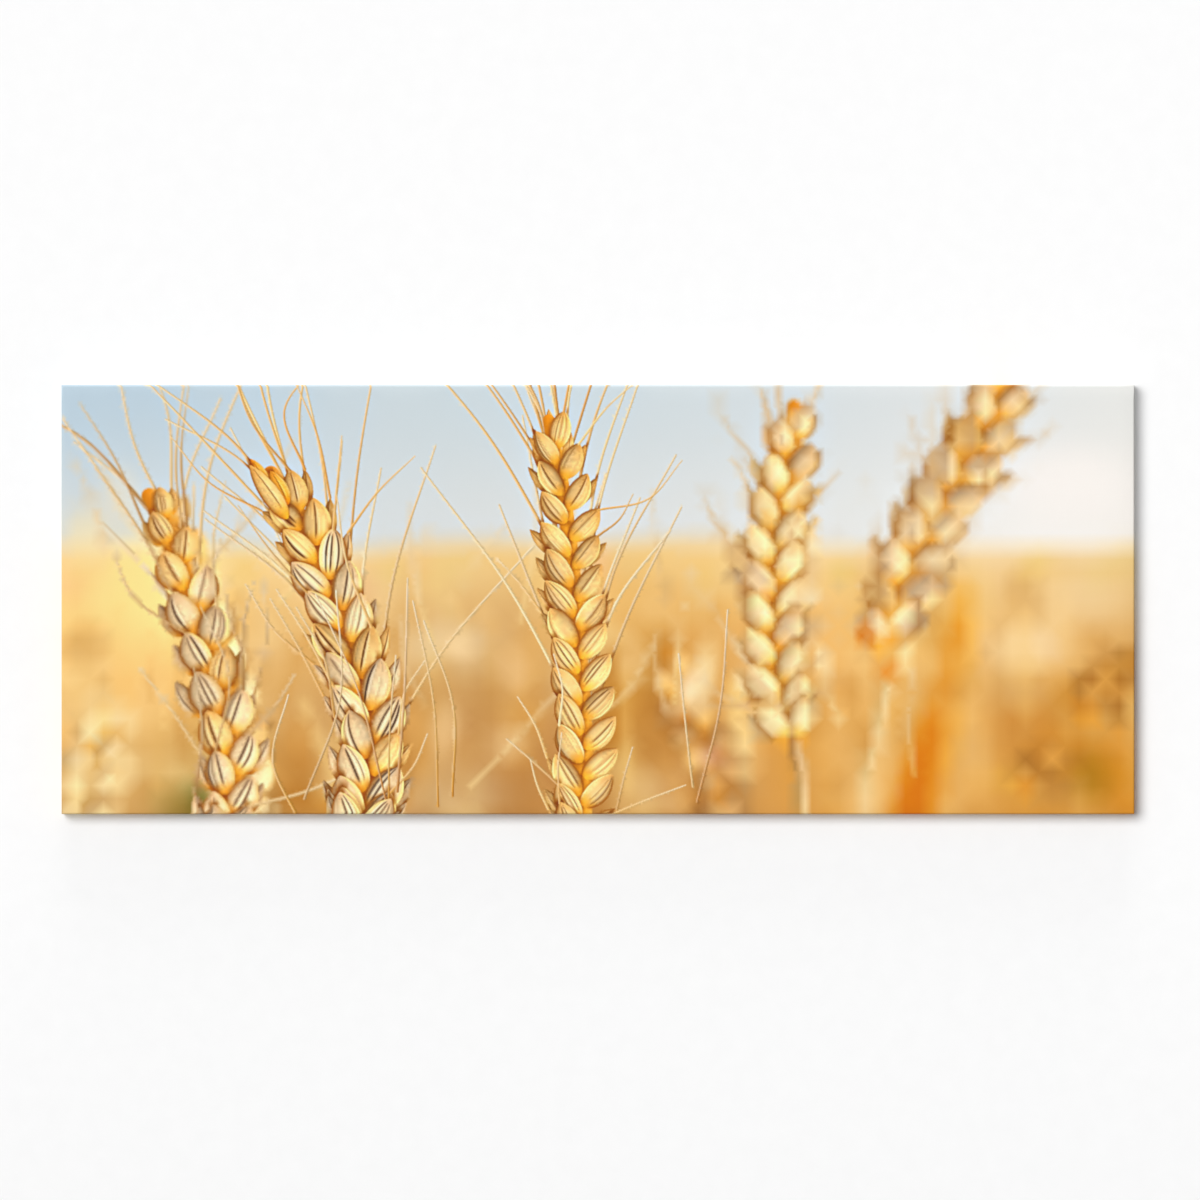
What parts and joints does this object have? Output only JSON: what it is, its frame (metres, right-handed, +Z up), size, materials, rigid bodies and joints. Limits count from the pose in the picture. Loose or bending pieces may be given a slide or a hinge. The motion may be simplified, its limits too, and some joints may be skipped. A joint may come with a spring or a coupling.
{
  "type": "canvas wall print",
  "caption": "Panoramic canvas wall print of ripening wheat, stretched over a keyed wooden stretcher frame with a centre brace, sawtooth hangers and wall bumpers.",
  "frame": {"origin": "in the wall plane, midway between the two sawtooth hangers, at the height of the roots of their teeth, where the frame's weight rests on the wall's nails", "axes": "+X along the width, to the viewer's right; +Y back into the wall, so the picture faces -Y; +Z up"},
  "size_m": [1.25, 0.0233, 0.5],
  "materials": {
    "printed_canvas": "matte printed cotton canvas, picture of wheat ears under a pale sky, white primed back",
    "stretcher_wood": "planed bare pine",
    "key_wood": "sawn bare beech",
    "staple_steel": "galvanised wire",
    "hanger_brass": "brass-plated pressed strip and nails",
    "bumper_rubber": "matte moulded rubber"
  },
  "bodies": {
    "root": {"bumper_bottom_left": "bumper_rubber", "bumper_bottom_right": "bumper_rubber", "bumper_top_left": "bumper_rubber", "bumper_top_right": "bumper_rubber", "canvas": "printed_canvas", "centre_brace": "stretcher_wood", "corner_key_bottom_a": "key_wood", "corner_key_bottom_b": "key_wood", "corner_key_left_a": "key_wood", "corner_key_left_b": "key_wood", "corner_key_right_a": "key_wood", "corner_key_right_b": "key_wood", "corner_key_top_a": "key_wood", "corner_key_top_b": "key_wood", "hanger_left": "hanger_brass", "hanger_nail_1": "hanger_brass", "hanger_nail_2": "hanger_brass", "hanger_nail_3": "hanger_brass", "hanger_nail_4": "hanger_brass", "hanger_right": "hanger_brass", "staple_bottom_01": "staple_steel", "staple_bottom_02": "staple_steel", "staple_bottom_03": "staple_steel", "staple_bottom_04": "staple_steel", "staple_bottom_05": "staple_steel", "staple_bottom_06": "staple_steel", "staple_bottom_07": "staple_steel", "staple_bottom_08": "staple_steel", "staple_bottom_09": "staple_steel", "staple_bottom_10": "staple_steel", "staple_bottom_11": "staple_steel", "staple_bottom_12": "staple_steel", "staple_left_01": "staple_steel", "staple_left_02": "staple_steel", "staple_left_03": "staple_steel", "staple_left_04": "staple_steel", "staple_left_05": "staple_steel", "staple_right_01": "staple_steel", "staple_right_02": "staple_steel", "staple_right_03": "staple_steel", "staple_right_04": "staple_steel", "staple_right_05": "staple_steel", "staple_top_01": "staple_steel", "staple_top_02": "staple_steel", "staple_top_03": "staple_steel", "staple_top_04": "staple_steel", "staple_top_05": "staple_steel", "staple_top_06": "staple_steel", "staple_top_07": "staple_steel", "staple_top_08": "staple_steel", "staple_top_09": "staple_steel", "staple_top_10": "staple_steel", "staple_top_11": "staple_steel", "staple_top_12": "staple_steel", "stretcher_bar_bottom": "stretcher_wood", "stretcher_bar_left": "stretcher_wood", "stretcher_bar_right": "stretcher_wood", "stretcher_bar_top": "stretcher_wood"}
  },
  "joints": []
}
